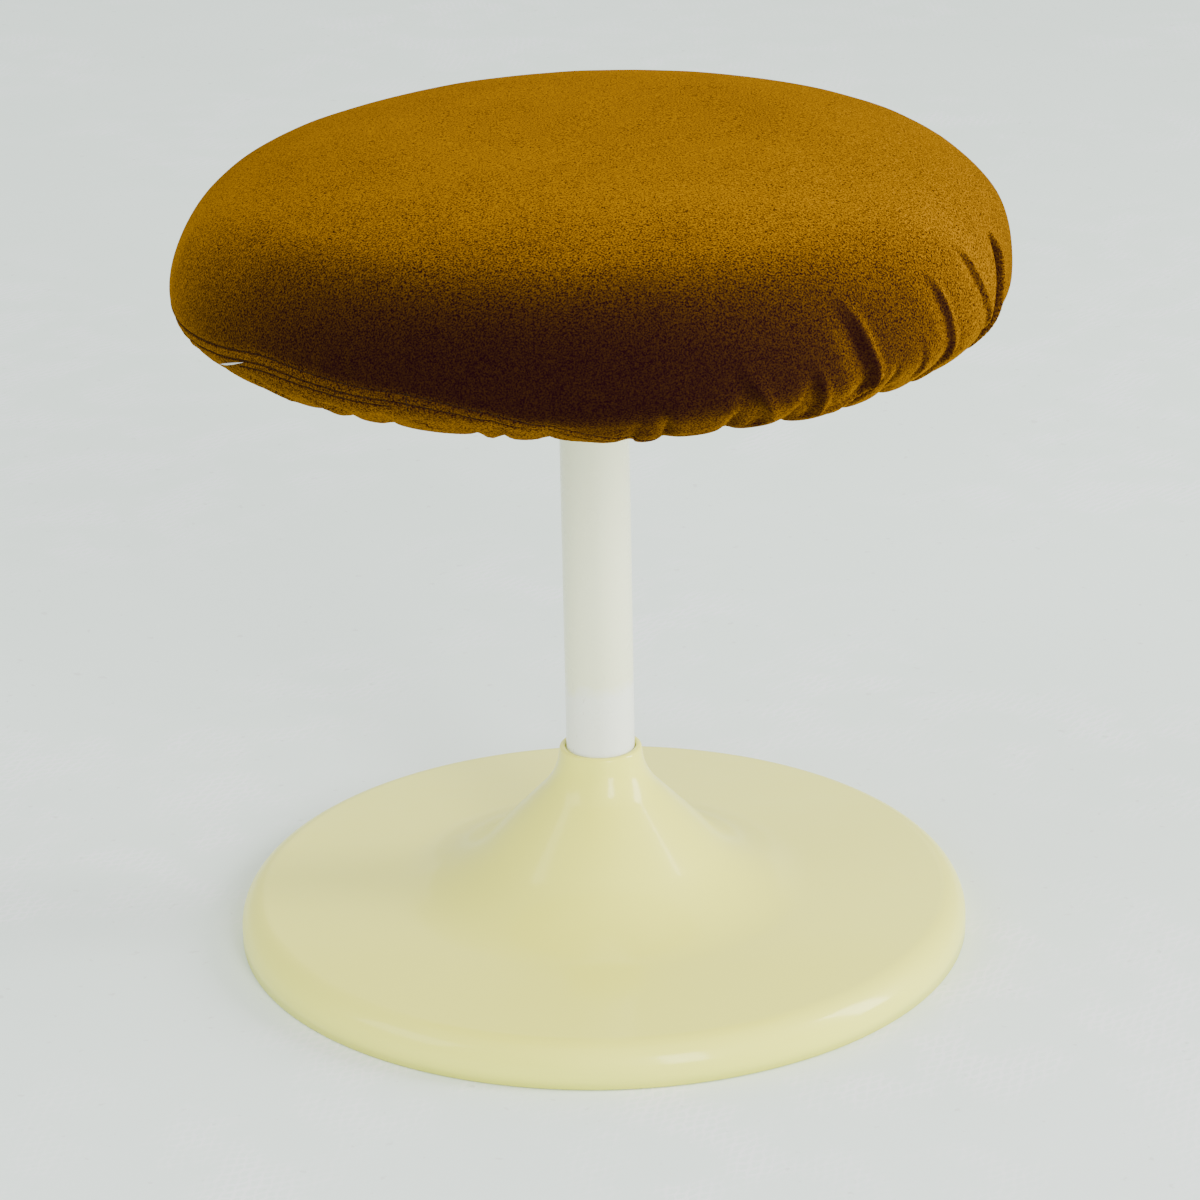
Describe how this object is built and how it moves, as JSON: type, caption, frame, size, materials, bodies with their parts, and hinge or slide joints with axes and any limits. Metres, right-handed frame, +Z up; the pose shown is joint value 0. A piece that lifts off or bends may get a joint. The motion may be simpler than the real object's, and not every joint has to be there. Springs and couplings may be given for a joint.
{
  "type": "tulip stool",
  "caption": "Low swivel stool: trumpet-shaped plastic base, white steel column and a round padded seat in a loose velour cover gathered underneath.",
  "frame": {"origin": "on the floor at the middle of the base, on the swivel axis", "axes": "+Z up along the column, +X and +Y level; the stool is round, so the front is any side"},
  "size_m": [0.414, 0.414, 0.43],
  "materials": {
    "cream_plastic": "satin gloss, slightly yellowed",
    "white_lacquer": "gloss lacquer, aged",
    "velour": "short pile, brushed",
    "foam": "open cell foam",
    "plywood": "unfinished birch plywood",
    "cast_iron": "matt, black primer",
    "zinc_steel": "zinc plated",
    "bright_steel": "turned, oiled",
    "black_enamel": "semi-gloss enamel",
    "brass": "turned",
    "nylon": "natural nylon",
    "felt": "pressed felt",
    "elastic": "covered rubber cord"
  },
  "bodies": {
    "base": {"base_shell": "cream_plastic", "ballast_plate": "cast_iron", "floor_felt_ring": "felt", "foot_flange": "zinc_steel", "flange_bolts": "zinc_steel", "shell_screws": "zinc_steel", "column_tube": "white_lacquer", "upper_bush": "nylon", "lower_bush": "nylon", "thrust_washer": "brass"},
    "seat": {"spindle": "bright_steel", "retaining_clip": "bright_steel", "seat_plate": "black_enamel", "seat_bolts": "zinc_steel", "seat_bolt_washers": "zinc_steel", "tee_nuts": "zinc_steel", "seat_board": "plywood", "foam_pad": "foam", "seat_cover": "velour", "hem_elastic": "elastic"}
  },
  "joints": [
    {"name": "seat_swivel", "type": "hinge", "parent": "base", "child": "seat", "pos_m": [0, 0, 0.32], "axis": [0, 0, 1], "continuous": true}
  ]
}
